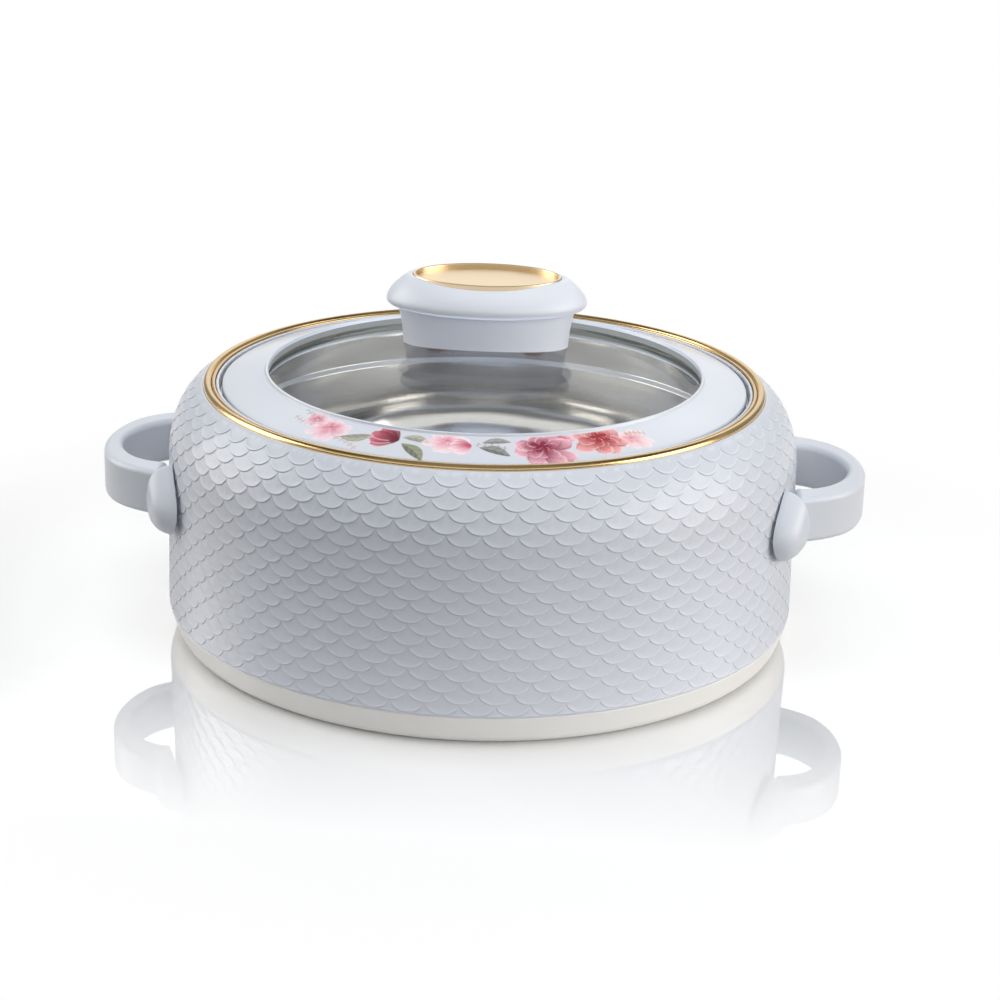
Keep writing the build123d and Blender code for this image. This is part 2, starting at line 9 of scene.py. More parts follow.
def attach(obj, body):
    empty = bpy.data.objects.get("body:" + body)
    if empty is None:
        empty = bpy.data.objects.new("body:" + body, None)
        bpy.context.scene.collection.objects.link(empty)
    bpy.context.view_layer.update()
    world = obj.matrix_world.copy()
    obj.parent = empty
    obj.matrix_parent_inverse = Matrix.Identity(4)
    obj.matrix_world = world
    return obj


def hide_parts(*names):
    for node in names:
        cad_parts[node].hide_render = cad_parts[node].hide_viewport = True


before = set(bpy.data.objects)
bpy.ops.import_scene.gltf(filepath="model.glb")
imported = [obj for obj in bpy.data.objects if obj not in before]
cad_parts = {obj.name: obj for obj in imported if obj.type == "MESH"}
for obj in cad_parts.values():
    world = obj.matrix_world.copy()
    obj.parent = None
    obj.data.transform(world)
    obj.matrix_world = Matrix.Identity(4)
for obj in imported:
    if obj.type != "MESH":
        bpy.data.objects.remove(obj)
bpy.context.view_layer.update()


# ---- outer shell ----
# The drum of the casserole: one piece of polypropylene, injection moulded, pale blue-grey
# and glossy. Rows of overlapping fish scales are cut into the mould all the way round, and
# the shell clips down over the spigot of the base.

def linear(hex_colour):
    """sRGB hex to linear RGBA: ((c + 0.055) / 1.055) ** 2.4, or c / 12.92 near black."""
    c = np.array([int(hex_colour[i:i + 2], 16) for i in (1, 3, 5)]) / 255
    c = np.where(c <= 0.04045, c / 12.92, ((c + 0.055) / 1.055) ** 2.4)
    return (*c, 1.0)


def add_node(tree, kind, settings=None, links=None):
    """One node in a tree, with its settings (properties or inputs) and the links into it."""
    node = tree.nodes.new(kind)
    for name, value in (settings or {}).items():
        if isinstance(name, str) and hasattr(node, name):
            setattr(node, name, value)
        else:
            node.inputs[name].default_value = value
    for name, source in (links or {}).items():
        tree.links.new(source, node.inputs[name])
    return node


def new_material(name):
    """An empty node material, and its tree."""
    made = bpy.data.materials.new(name)
    made.use_nodes = True
    made.node_tree.nodes.clear()
    return made, made.node_tree


def mesh_piece(name, points, faces, values=None, sharp=35.0):
    """A mesh object from arrays: points (n, 3) in mm, faces (m, 4), and values per point, a
    float (n) or a colour (n, 4) by name. Doubles are merged, the faces turned outwards, and
    edges over SHARP degrees stay sharp."""
    mesh = bpy.data.meshes.new(name)
    mesh.from_pydata((points * MM).tolist(), [], faces.tolist())
    for key, value in (values or {}).items():
        kind, field = ("FLOAT", "value") if value.ndim == 1 else ("FLOAT_COLOR", "color")
        mesh.attributes.new(key, kind, "POINT").data.foreach_set(field, value.ravel())
    work = bmesh.new()
    work.from_mesh(mesh)
    bmesh.ops.remove_doubles(work, verts=work.verts, dist=WELD)
    bmesh.ops.recalc_face_normals(work, faces=work.faces)
    work.to_mesh(mesh)
    work.free()
    mesh.shade_smooth()
    mesh.set_sharp_from_angle(angle=radians(sharp))
    made = bpy.data.objects.new(name, mesh)
    bpy.context.scene.collection.objects.link(made)
    return made


def grid_faces(rows, columns, closed_rows=False):
    """Quads of a grid of points whose columns close: face (i, j) joins rows i and i + 1."""
    i = np.arange(rows if closed_rows else rows - 1)[:, None]
    j = np.arange(columns)[None, :]
    i2, j2 = (i + 1) % rows, (j + 1) % columns
    quads = [i * columns + j, i * columns + j2, i2 * columns + j2, i2 * columns + j]
    return np.stack([np.broadcast_to(q, (i.size, j.size)) for q in quads], -1).reshape(-1, 4)


def turned(profile, angles):
    """Profile (r, z) turned about Z: point (i, j) is (r_i cos a_j, r_i sin a_j, z_i)."""
    r, z = profile[:, 0:1], profile[:, 1:2]
    grid = np.stack([r * np.cos(angles), r * np.sin(angles), z + 0 * angles], -1)
    return grid.reshape(-1, 3)


MM = 0.001
WELD = 0.001 * MM
WALL_FOOT = 121.8
WALL_TOP = 120.65
WALL = 2.4
SEAM = 11.4
SEAM_CHAMFER = 0.5
SHOULDER = (101.39, 70.1)
SHOULDER_REACH = (19.26, 28.16)
SHELL_MARGIN = 88.0
SHELL_EDGE = (108.0, 96.55)
EDGE_BREAK = (0.3, 0.12)
SEAT = (107.45, 102.7, 94.87, 93.47)
INSIDE_START = 65.1
SCALES_ROUND = 62
SCALE_ROWS = 21
SCALE_FIRST = 0.73
SCALE_SPACING = 4.095
SCALE_TURN = -86.79
SCALE_ACROSS = 10
SCALE_RELIEF = 0.36
SCALE_SETBACKS = (0.0, 0.26, 0.6, 1.0)
SCALE_HEIGHTS = (0.0, 0.94, 1.0, 0.60, 0.40)
SCALE_FULL = 1.5
LAST_ROW_TOP = 0.9
LOBE = 0.98


def shell_line(s):
    """Radius, height and outward normal of the shell at arc length s from the seam, in mm: up
    the wall, which draws in a little, then round the quarter ellipse C + (A cos t, B sin t)."""
    t = np.linspace(0, pi / 2, 2000)
    a, b = SHOULDER_REACH
    run = np.concatenate([[0], np.cumsum(np.hypot(np.diff(a * np.cos(t)), np.diff(b * np.sin(t))))])
    draft, rise = WALL_FOOT - WALL_TOP, SHOULDER[1] - SEAM
    straight = np.hypot(draft, rise)
    at = np.interp(s - straight, run, t)
    low = s < straight
    r = np.where(low, WALL_FOOT - draft * s / straight, SHOULDER[0] + a * np.cos(at))
    z = np.where(low, SEAM + rise * s / straight, SHOULDER[1] + b * np.sin(at))
    n = np.stack([np.cos(at) / a, np.sin(at) / b], -1)
    return r, z, n / np.linalg.norm(n, axis=-1, keepdims=True)


def scale_edge(u):
    """Lower edge of a scale above its tip, u from -1 to 1 across it: spacing times
    (1 - sqrt(1 - (L u)^2)) / (1 - sqrt(1 - L^2)), where L, just under 1, makes it a nearly
    half-round lobe."""
    return SCALE_SPACING * (1 - np.sqrt(1 - (LOBE * u) ** 2)) / (1 - np.sqrt(1 - LOBE ** 2))


def scale_row(row):
    """One row of visible scales as a grid (6, scales * points across): each scale spans from its
    own lower edge up to the lower edges of the two above. Points lie at the setbacks behind the
    edge and in mid-scale, each as high as its share of the relief, and the top is at 0, under
    the next row. The last row has none above it and runs out into the plain margin. A scale that
    shows less than its full span is thinner in proportion."""
    u = np.linspace(-1, 1, SCALE_ACROSS + 1)[:-1] * np.ones((SCALES_ROUND, 1))
    pitch = 360 / SCALES_ROUND
    angle = SCALE_TURN + pitch * (np.arange(SCALES_ROUND)[:, None] + u / 2 + 0.5 * (row % 2))
    u, angle = u.ravel(), np.radians(angle.ravel())
    tip = SCALE_FIRST + SCALE_SPACING * row
    low = tip + scale_edge(u) if row >= 0 else SEAM_CHAMFER + 0 * u
    last = row == SCALE_ROWS - 1
    high = SHELL_MARGIN + 0 * u if last else tip + SCALE_SPACING + scale_edge(1 - np.abs(u))
    low = np.maximum(low, SEAM_CHAMFER)
    span = np.maximum(high - low, 0)
    thin = np.minimum(1, span / SCALE_FULL)
    along = [setback * thin for setback in SCALE_SETBACKS] + [0.45 * span + 0.5 * thin, span]
    shares = np.array([*SCALE_HEIGHTS, LAST_ROW_TOP if last else 0.0])
    height = SCALE_RELIEF * shares[:, None] * thin
    r, z, n = shell_line(low + np.stack(along))
    sink = height - SCALE_RELIEF
    r, z = r + sink * n[..., 0], z + sink * n[..., 1]
    points = np.stack([r * np.cos(angle), r * np.sin(angle), z], -1)
    return points, height / SCALE_RELIEF


columns = SCALE_ACROSS * SCALES_ROUND
blocks, tones, quads, offset = [], [], [], 0
for row in range(-1, SCALE_ROWS):
    points, height = scale_row(row)
    blocks.append(points.reshape(-1, 3))
    tones.append(height.ravel())
    quads.append(grid_faces(len(points), columns) + offset)
    offset += len(points) * columns

# The plain margin, the seat of the gold ring, the land, the inside and the seam edge.
edge_r, edge_z, edge_n = shell_line(np.array([SHELL_MARGIN]))
sunk = (1 - LAST_ROW_TOP) * SCALE_RELIEF * edge_n[0]
angles = np.radians(SCALE_TURN + 180 / SCALES_ROUND + np.arange(columns) * 360 / columns)
inner_t = np.radians(np.linspace(INSIDE_START, 0, 12))
inside = np.stack([SHOULDER[0] + (SHOULDER_REACH[0] - WALL) * np.cos(inner_t),
                   SHOULDER[1] + (SHOULDER_REACH[1] - WALL) * np.sin(inner_t)], -1)
shell_inside = np.concatenate([
    [[edge_r[0] - sunk[0], edge_z[0] - sunk[1]]],
    [[SHELL_EDGE[0] + EDGE_BREAK[0], SHELL_EDGE[1] - EDGE_BREAK[1]]],
    [[SHELL_EDGE[0], SHELL_EDGE[1]], [SEAT[0], SHELL_EDGE[1]], [SEAT[0], SEAT[2]]],
    [[SEAT[1], SEAT[2]], [SEAT[1], SEAT[3]]],
    inside,
    [[WALL_FOOT - WALL, SEAM], [WALL_FOOT - SEAM_CHAMFER, SEAM]],
    [[WALL_FOOT - SCALE_RELIEF, SEAM + SEAM_CHAMFER]],
])
blocks.append(turned(shell_inside, angles))
tones.append(np.full(len(shell_inside) * columns, 0.5))
quads.append(grid_faces(len(shell_inside), columns) + offset)

shell = mesh_piece("shell", np.concatenate(blocks), np.concatenate(quads),
                   {"relief": np.concatenate(tones)}, sharp=50.0)


def moulded(name, colour, roughness, grain_mm, grain_depth, mottle=0.03):
    """Injection-moulded plastic: the colour drifts by MOTTLE over a few cm as the melt flowed,
    the gloss drifts with it, and the mould's fine spark texture shows as a soft grain, drawn
    about ten times coarser than it is so that it shows."""
    made, tree = new_material(name)
    place = add_node(tree, "ShaderNodeTexCoord").outputs["Object"]
    flow = add_node(tree, "ShaderNodeTexNoise", {"Scale": 22.0, "Detail": 3.0}, {"Vector": place})
    base = linear(colour)
    dark = (*(c * (1 - mottle) for c in base[:3]), 1.0)
    light = (*(min(1.0, c * (1 + mottle)) for c in base[:3]), 1.0)
    tint = add_node(tree, "ShaderNodeMix", {"data_type": "RGBA", 6: dark, 7: light},
                    {0: flow.outputs["Fac"]})
    gloss = add_node(tree, "ShaderNodeMapRange",
                     {"To Min": roughness - 0.04, "To Max": roughness + 0.05},
                     {"Value": flow.outputs["Fac"]})
    grain = add_node(tree, "ShaderNodeTexNoise", {"Scale": 1.0 / (grain_mm * MM), "Detail": 2.0},
                     {"Vector": place})
    bump = add_node(tree, "ShaderNodeBump", {"Strength": 0.6, "Distance": grain_depth * MM},
                    {"Height": grain.outputs["Fac"]})
    skin = add_node(tree, "ShaderNodeBsdfPrincipled", {"IOR": 1.49},
                    {"Base Color": tint.outputs[2], "Roughness": gloss.outputs["Result"],
                     "Normal": bump.outputs["Normal"]})
    add_node(tree, "ShaderNodeOutputMaterial", None, {"Surface": skin.outputs["BSDF"]})
    return made, tree, skin, tint


def dress(piece, finish, slot, body=None, *stands_for):
    """Gives a piece its one finish; a new piece also gets its body, and the parts it stands for are
    hidden. The slot is not used.
    """
    piece.data.materials.clear()
    piece.data.materials.append(finish)
    if body:
        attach(piece, body)
    if stands_for:
        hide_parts(*stands_for)


# Polypropylene from a mould with a polished relief. Its colour is painted paler where the relief
# stands high, as a painted highlight on the rims of the scales and at the top of the last row, and
# a little darker at the roots under the next row, as painted shade.
shell_gloss, tree, skin, tint = moulded("glossy moulded polypropylene", "#C6CAD2", 0.30, 0.9, 0.010)
relief = add_node(tree, "ShaderNodeAttribute", {"attribute_name": "relief"})
rim = add_node(tree, "ShaderNodeMapRange",
               {"From Min": 0.55, "From Max": 1.0, "To Min": 0.985, "To Max": 1.13},
               {"Value": relief.outputs["Fac"]})
painted_light_tone = add_node(tree, "ShaderNodeVectorMath", {"operation": "SCALE"},
                  {0: tint.outputs[2], "Scale": rim.outputs["Result"]})
tree.links.new(painted_light_tone.outputs["Vector"], skin.inputs["Base Color"])
dress(shell, shell_gloss, "shell_plastic", "pot", "outer_shell")


# ---- base cover and plug ----
# The base is one shallow moulding in ivory ABS, plain on the outside, with a foot ring, eight
# ribs and a hub underneath. The plug snaps into the hole that the foam was poured through.

# Semi-gloss ABS: warmer than the shell above it, with broad pale highlights.
base_gloss = moulded("ivory ABS, semi-gloss", "#DEDDDA", 0.34, 1.1, 0.012)[0]
for node in ("base_cover", "foam_fill_plug"):
    dress(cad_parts[node], base_gloss, "base_plastic")


# ---- foam ----
# Rigid polyurethane foam, poured between shell and bowl and left as it rose. It is closed in
# on all sides, and is pale yellow with open cells where it was cut.

# Cut foam: a dry matt surface. Each cell is painted darker towards its middle, as painted shade in
# its pit.
foam_cells, tree = new_material("poured polyurethane foam")
place = add_node(tree, "ShaderNodeTexCoord").outputs["Object"]
cells = add_node(tree, "ShaderNodeTexVoronoi", {"Scale": 1.0 / (0.8 * MM)}, {"Vector": place})
cell_colour_and_pit_shade = add_node(tree, "ShaderNodeMix",
                     {"data_type": "RGBA", 6: linear("#D8C48C"), 7: linear("#EADDB0")},
                     {0: cells.outputs["Distance"]})
pits = add_node(tree, "ShaderNodeBump", {"Strength": 0.8, "Distance": 0.3 * MM},
                {"Height": cells.outputs["Distance"]})
foam_skin = add_node(tree, "ShaderNodeBsdfPrincipled", {"Roughness": 0.95},
                     {"Base Color": cell_colour_and_pit_shade.outputs[2], "Normal": pits.outputs["Normal"]})
add_node(tree, "ShaderNodeOutputMaterial", None, {"Surface": foam_skin.outputs["BSDF"]})
dress(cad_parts["insulation_foam"], foam_cells, "foam")


# ---- steel bowl ----
# Deep-drawn 18/8 stainless steel, 0.7 mm, spun and buffed inside: a flanged mouth that hangs in
# the collar, a straight upper wall down to the stacking step, and a very wide round corner.

MOUTH_RADIUS = 97.9
LOWER_RADIUS = 96.4
FLOOR_RADIUS = 93.6
FLANGE = (101.0, 92.07)
STEP = (78.37, 76.57)
BOWL_BOTTOM = 23.3
BOWL_CORNER = 45.0
SHEET = 0.7
BOWL_STEP = 4.0
BOWL_SIDES = 288
BOWL_WAVE = 0.03


def rounded(corners, radii, steps=6):
    """Closed outline with round corners. At corner P, with unit vectors a and b to its
    neighbours and half angle h, the arc has centre P + r (a + b) / |a + b| / sin h and runs
    between P + a r / tan h and P + b r / tan h. Repeated points are dropped."""
    p, r = np.array(corners, float), np.array(radii, float)[:, None]
    a, b = np.roll(p, 1, 0) - p, np.roll(p, -1, 0) - p
    a, b = (v / np.linalg.norm(v, axis=1, keepdims=True) for v in (a, b))
    half = np.arccos(np.clip((a * b).sum(1, keepdims=True), -1, 0.9999)) / 2
    middle = (a + b) / np.maximum(np.linalg.norm(a + b, axis=1, keepdims=True), 1e-9)
    centre = p + middle * r / np.sin(half)
    start, end = p + a * r / np.tan(half) - centre, p + b * r / np.tan(half) - centre
    turn = np.maximum(pi - 2 * half, 1e-6)[:, None]
    t = np.linspace(0, 1, steps)[None, :, None]
    arc = np.sin((1 - t) * turn) * start[:, None] + np.sin(t * turn) * end[:, None]
    line = (centre[:, None] + arc / np.sin(turn)).reshape(-1, 2)
    return line[np.linalg.norm(line - np.roll(line, 1, 0), axis=1) > 1e-4]


def closer(line, step):
    """The closed outline with more points: each side is cut into ceil(length / step) equal runs."""
    nexts = np.roll(line, -1, 0)
    count = np.ceil(np.linalg.norm(nexts - line, axis=1) / step).astype(int)
    owner = np.repeat(np.arange(len(line)), count)
    share = (np.arange(count.sum()) - np.repeat(np.cumsum(count) - count, count)) / count[owner]
    return line[owner] + (nexts - line)[owner] * share[:, None]


bowl_line = closer(rounded(
    [(0.0, BOWL_BOTTOM), (FLOOR_RADIUS, BOWL_BOTTOM), (LOWER_RADIUS, STEP[1]),
     (MOUTH_RADIUS, STEP[0]), (MOUTH_RADIUS, FLANGE[1]), FLANGE, (FLANGE[0], FLANGE[1] + SHEET),
     (MOUTH_RADIUS - SHEET, FLANGE[1] + SHEET), (MOUTH_RADIUS - SHEET, STEP[0] + SHEET / 2),
     (LOWER_RADIUS - SHEET, STEP[1] + SHEET / 2), (FLOOR_RADIUS - SHEET, BOWL_BOTTOM + SHEET),
     (0.0, BOWL_BOTTOM + SHEET)],
    [0, BOWL_CORNER, 0.8, 0.8, 0.2, 0, 0, 1.4, 0.8, 0.8, BOWL_CORNER - SHEET, 0],
    steps=17), BOWL_STEP)
angles = np.radians(np.arange(BOWL_SIDES) * 360 / BOWL_SIDES)
bowl_points = turned(bowl_line, angles)
# Drawing and buffing leave the wall a few hundredths out of true: r grows by a sum of slow waves
# round the bowl and down it, fading out at the flange and the floor.
theta = np.arctan2(bowl_points[:, 1], bowl_points[:, 0])
height = (bowl_points[:, 2] - BOWL_BOTTOM) / (FLANGE[1] - BOWL_BOTTOM)
fade = np.clip(4 * height, 0, 1) * np.clip(6 * (1 - height), 0, 1)
wave = BOWL_WAVE * fade * (np.sin(5 * theta + 9 * height) + np.sin(8 * theta - 14 * height + 1.3)
                           + 0.7 * np.sin(13 * theta + 23 * height + 0.4))
out = np.maximum(np.hypot(bowl_points[:, 0], bowl_points[:, 1]), 1.0)
bowl_points[:, :2] *= 1 + (wave / out)[:, None]
bowl = mesh_piece("bowl", bowl_points, grid_faces(len(bowl_line), len(angles), closed_rows=True),
                  sharp=40.0)

# Buffed stainless: grey metal, rings of fine lines from the turning mop, 0.5 mm apart here so
# that they show, slow ridges that the spinning left, and reflections drawn out along the rings.
buffed_steel, tree = new_material("buffed stainless steel")
place = add_node(tree, "ShaderNodeTexCoord").outputs["Object"]
axes = add_node(tree, "ShaderNodeSeparateXYZ", None, {"Vector": place})
flat = add_node(tree, "ShaderNodeCombineXYZ", None,
                {"X": axes.outputs["X"], "Y": axes.outputs["Y"]})
far = add_node(tree, "ShaderNodeVectorMath", {"operation": "LENGTH"}, {0: flat.outputs["Vector"]})
ring_place = add_node(tree, "ShaderNodeCombineXYZ", None,
                      {"X": far.outputs["Value"], "Y": axes.outputs["Z"]})
lines = add_node(tree, "ShaderNodeTexNoise", {"Scale": 1.0 / (0.5 * MM), "Detail": 2.0},
                 {"Vector": ring_place.outputs["Vector"]})
drawn_out = add_node(tree, "ShaderNodeMapping", {"Scale": (0.4, 0.4, 11.0)}, {"Vector": place})
ridges = add_node(tree, "ShaderNodeTexNoise", {"Scale": 1.0 / (45 * MM), "Detail": 2.0},
                  {"Vector": drawn_out.outputs["Vector"]})
cloud = add_node(tree, "ShaderNodeTexNoise", {"Scale": 30.0, "Detail": 4.0}, {"Vector": place})
steel_tone = add_node(tree, "ShaderNodeMix",
                      {"data_type": "RGBA", 6: linear("#D2CFCB"), 7: linear("#DFDDDA")},
                      {0: cloud.outputs["Fac"]})
steel_gloss = add_node(tree, "ShaderNodeMapRange", {"To Min": 0.09, "To Max": 0.15},
                       {"Value": cloud.outputs["Fac"]})
ripple = add_node(tree, "ShaderNodeBump", {"Strength": 1.0, "Distance": 0.05 * MM},
                  {"Height": ridges.outputs["Fac"]})
scratch = add_node(tree, "ShaderNodeBump", {"Strength": 0.25, "Distance": 0.01 * MM},
                   {"Height": lines.outputs["Fac"], "Normal": ripple.outputs["Normal"]})
around = add_node(tree, "ShaderNodeTangent", {"direction_type": "RADIAL", "axis": "Z"})
steel_skin = add_node(tree, "ShaderNodeBsdfPrincipled", {"Metallic": 1.0, "Anisotropic": 0.5},
                      {"Base Color": steel_tone.outputs[2],
                       "Roughness": steel_gloss.outputs["Result"],
                       "Normal": scratch.outputs["Normal"], "Tangent": around.outputs["Tangent"]})
add_node(tree, "ShaderNodeOutputMaterial", None, {"Surface": steel_skin.outputs["BSDF"]})
dress(bowl, buffed_steel, "bowl_steel", "pot", "inner_bowl")


# ---- top collar ----
# A thin ring in the lid's white ABS. It holds the bowl by its flange, and its lip stands inside
# the gold ring as a plain narrow strip.

# ABS from a polished mould: smooth and bright, in the lid's cool white.
collar_gloss = moulded("white ABS of the collar", "#CED2DA", 0.24, 1.3, 0.006, 0.015)[0]
dress(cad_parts["top_collar"], collar_gloss, "lid_plastic")


# ---- gold ring ----
# An ABS ring, vacuum metallised in gold and lacquered: a broad bead outside, a thin line inside.
# Eight pins below go down through the shell and the collar.

RING_OUTER = 107.4
RING_INNER = 102.7
RING_FOOT = 94.89
INNER_LINE = (0.7, 0.6, 2.2)
OUTER_BEAD = (1.65, 1.78, 1.7)


def bead(middle, half_width, half_height, rise):
    """The top of a bead: half an ellipse, (middle - a cos t, foot + rise + b sin t), t to pi."""
    t = np.linspace(0, pi, 17)
    r, z = middle - half_width * np.cos(t), RING_FOOT + rise + half_height * np.sin(t)
    return np.stack([r, z], -1)


ring_line = np.concatenate([
    [[RING_OUTER, RING_FOOT], [RING_INNER, RING_FOOT]],
    bead(RING_INNER + INNER_LINE[0], *INNER_LINE),
    bead(RING_OUTER - OUTER_BEAD[0], *OUTER_BEAD),
])
gold_ring = mesh_piece("gold_ring", turned(ring_line, np.radians(np.arange(360))),
                       grid_faces(len(ring_line), 360, closed_rows=True), sharp=60.0)


def metallised(name, dark, light, roughness):
    """Lacquer over bright metal: the lacquer pools a little, so its colour and gloss drift over
    a centimetre or so, and the slight waves of the piece below show in the mirror."""
    made, tree = new_material(name)
    place = add_node(tree, "ShaderNodeTexCoord").outputs["Object"]
    pool = add_node(tree, "ShaderNodeTexNoise", {"Scale": 90.0, "Detail": 2.0}, {"Vector": place})
    tone = add_node(tree, "ShaderNodeMix", {"data_type": "RGBA", 6: linear(dark), 7: linear(light)},
                    {0: pool.outputs["Fac"]})
    gloss = add_node(tree, "ShaderNodeMapRange",
                     {"To Min": roughness - 0.05, "To Max": roughness + 0.06},
                     {"Value": pool.outputs["Fac"]})
    waves = add_node(tree, "ShaderNodeTexNoise", {"Scale": 400.0, "Detail": 1.0}, {"Vector": place})
    bump = add_node(tree, "ShaderNodeBump", {"Strength": 0.4, "Distance": 0.03 * MM},
                    {"Height": waves.outputs["Fac"]})
    skin = add_node(tree, "ShaderNodeBsdfPrincipled", {"Metallic": 1.0},
                    {"Base Color": tone.outputs[2], "Roughness": gloss.outputs["Result"],
                     "Normal": bump.outputs["Normal"]})
    add_node(tree, "ShaderNodeOutputMaterial", None, {"Surface": skin.outputs["BSDF"]})
    return made


# Metallised ABS: a warm mirror, slightly veiled by the lacquer, with a bright line on each bead.
ring_gold = metallised("gold metallised ABS", "#CBAC76", "#DDC08F", 0.20)
dress(gold_ring, ring_gold, "gold_trim", "pot", "gold_trim_ring")


# ---- side handles ----
# Each is one ABS moulding in satin white: a flat strap bent into a loop, ending in two egg-shaped
# lugs. Tenons on the lugs pass through the shell, and a screw from inside holds each one.

# Satin ABS: wide soft highlights, and no mirror image.
handle_satin = moulded("satin moulded ABS", "#C8CCD3", 0.36, 0.7, 0.010)[0]
for node in ("handle_left", "handle_right"):
    dress(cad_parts[node], handle_satin, "handle_plastic")


# ---- handle screws and washers ----
# Pan-head steel screws and plain washers, bright zinc plated. They sit in pockets of the foam,
# behind the shell, and nothing shows of them.

# Zinc plate: a cool grey mirror, clouded by the bath.
zinc = metallised("bright zinc plate", "#B4B7BA", "#CDD0D2", 0.26)
for node in ("handle_screws", "handle_washers", "knob_screws"):
    dress(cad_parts[node], zinc, "screw_steel")


# ---- lid ring ----
# One ABS moulding in glossy white: a sloping face that runs up to a thin raised lip round the
# window, and a rib below that holds the gasket. Flowers are transfer printed on the front.

LID_RADIUS = 100.2
LID_BOTTOM = 93.67
LID_EDGE_TOP = 96.87
SLOPE_INNER = (84.0, 101.17)
CREST = (83.8, 82.8, 102.17)
WINDOW = (82.5, 100.92)
LIP_UNDERSIDE = 99.27
RIB = (87.4, 89.0, 94.87, 97.84)
LID_WALL = 2.0
PRINT_STEP = 0.28
PRINT_TURN = 0.17
PLAIN_TURN = 2.0
PLAIN_EVERY = 6
FACE_DEPTH = 0.3

lid_line = closer(rounded(
    [(LID_RADIUS, LID_BOTTOM), (LID_RADIUS, LID_EDGE_TOP), SLOPE_INNER, (CREST[0], CREST[2]),
     (CREST[1], CREST[2]), WINDOW, (RIB[0], LIP_UNDERSIDE), (RIB[0], RIB[2]), (RIB[1], RIB[2]),
     (RIB[1], RIB[3]), (LID_RADIUS - LID_WALL, LID_EDGE_TOP - LID_WALL),
     (LID_RADIUS - LID_WALL, LID_BOTTOM)],
    [0, 0.9, 0.5, 0.3, 0.3, 0.2, 0, 0, 0, 0.4, 0, 0], steps=7), PRINT_STEP)
# Only the printed face and the crest need close points: elsewhere the outline keeps every sixth.
slope_top = LID_EDGE_TOP + (LID_RADIUS - lid_line[:, 0]) * (
    (SLOPE_INNER[1] - LID_EDGE_TOP) / (LID_RADIUS - SLOPE_INNER[0]))
printed_face = (lid_line[:, 0] > SLOPE_INNER[0]) & (lid_line[:, 1] > slope_top - FACE_DEPTH)
crest = lid_line[:, 1] > SLOPE_INNER[1] - FACE_DEPTH
keep = printed_face | crest | (np.arange(len(lid_line)) % PLAIN_EVERY == 0)
lid_line, printed_face = lid_line[keep], printed_face[keep]
angles = np.radians(np.concatenate([np.arange(-140, -40, PRINT_TURN),
                                    np.arange(-40, 220, PLAIN_TURN)]))
lid_points = turned(lid_line, angles)


def over(canvas, colour, cover):
    """Paints a colour, (3) or (n, 3), on the canvas (n, 4): old (1 - cover) + colour cover."""
    cover = np.clip(cover, 0, 1)[:, None]
    canvas[:, :3] = canvas[:, :3] * (1 - cover) + colour * cover
    canvas[:, 3:] = canvas[:, 3:] * (1 - cover) + cover


def soft_step(value, width):
    """1 inside (value > 0) and 0 outside, with a soft edge: clip(value / width + 1/2)."""
    return np.clip(value / width + 0.5, 0, 1)


def mixed(first, second, share):
    """Between two colours, first (1 - share) + second share, for one share or an array of them.
    Each colour is a hex value or a linear triple."""
    share = np.clip(share, 0, 1)[..., None]
    first, second = (linear(c)[:3] if isinstance(c, str) else c for c in (first, second))
    return np.array(first) * (1 - share) + np.array(second) * share


def petal(canvas, x, y, at, length, width, turn, heart, rim, depth):
    """One brushed petal from its foot at AT: half width is w (1.35 t (1 - t^3)) ^ 0.7 over t from 0
    to 1 along it, with a wavy tip. It is dark at the foot and pales to the tip, with faint
    veins, a darker line along one side and a pale one along the other."""
    dx, dy = x - at[0], y - at[1]
    t = (dx * np.cos(turn) + dy * np.sin(turn)) / length
    v = (-dx * np.sin(turn) + dy * np.cos(turn)) / width
    tip = 1 - 0.05 * np.abs(np.sin(7 * v + turn * 5))
    half = (1.35 * np.clip(t, 0, 1) * np.clip(1 - (t / tip) ** 3, 0, 1)) ** 0.7
    shape = soft_step(half - np.abs(v), 0.16) * (t > 0) * (t < 1.02)
    veins = 0.10 * np.sin(26 * v + 6 * np.sin(3 * t + turn))
    share = 1.2 * t - 0.20 + veins + 0.25 * v
    over(canvas, mixed(heart, rim, share), depth * shape)
    edge = soft_step(0.16 - np.abs(half - np.abs(v)), 0.12) * (t > 0.25) * (t < 1.0)
    over(canvas, mixed(heart, "#FFF4F4", 0.5 + 0.5 * np.sign(v)), 0.35 * depth * shape * edge)


def bloom(canvas, x, y, at, size, heart, rim, seed, depth=0.9, rings=4):
    """A full garden bloom seen a little from the side: rings of petals from the outermost in,
    each ring at 0.72 times the last, turned by 2.4 rad from petal to petal and squeezed to
    0.78 in height, its centre moved towards the heart. The inner petals are the darker."""
    for k in range(rings):
        reach = size * 0.72 ** k
        petals = 8 - k
        for i in range(petals):
            turn = 2.4 * i + 1.1 * k + seed
            foot = (at[0] + 0.12 * reach * np.cos(turn),
                    at[1] + 0.10 * reach * np.sin(turn) + 0.05 * size * k)
            grow = 0.92 + 0.12 * np.sin(3.7 * i + seed)
            squeeze = np.hypot(np.cos(turn), 0.78 * np.sin(turn))
            length = reach * grow * squeeze
            shade = mixed(rim, heart, 0.32 * k)
            petal(canvas, x, y, foot, length, 0.42 * reach, turn, heart, shade, depth)
    over(canvas, mixed(heart, "#5E1422", 0.35),
         0.8 * soft_step(0.10 * size - np.hypot(x - at[0], y - at[1] - 0.15 * size), 0.5))


def cup(canvas, x, y, at, size, turn, heart, rim, depth=0.9):
    """A half-open bud on its side: five long petals fanned within 1.3 rad of its turn."""
    for lean in (-0.62, 0.62, -0.34, 0.34, 0.0):
        length = size * (1 - 0.25 * abs(lean))
        petal(canvas, x, y, at, length, 0.30 * size, turn + lean, heart, rim, depth)


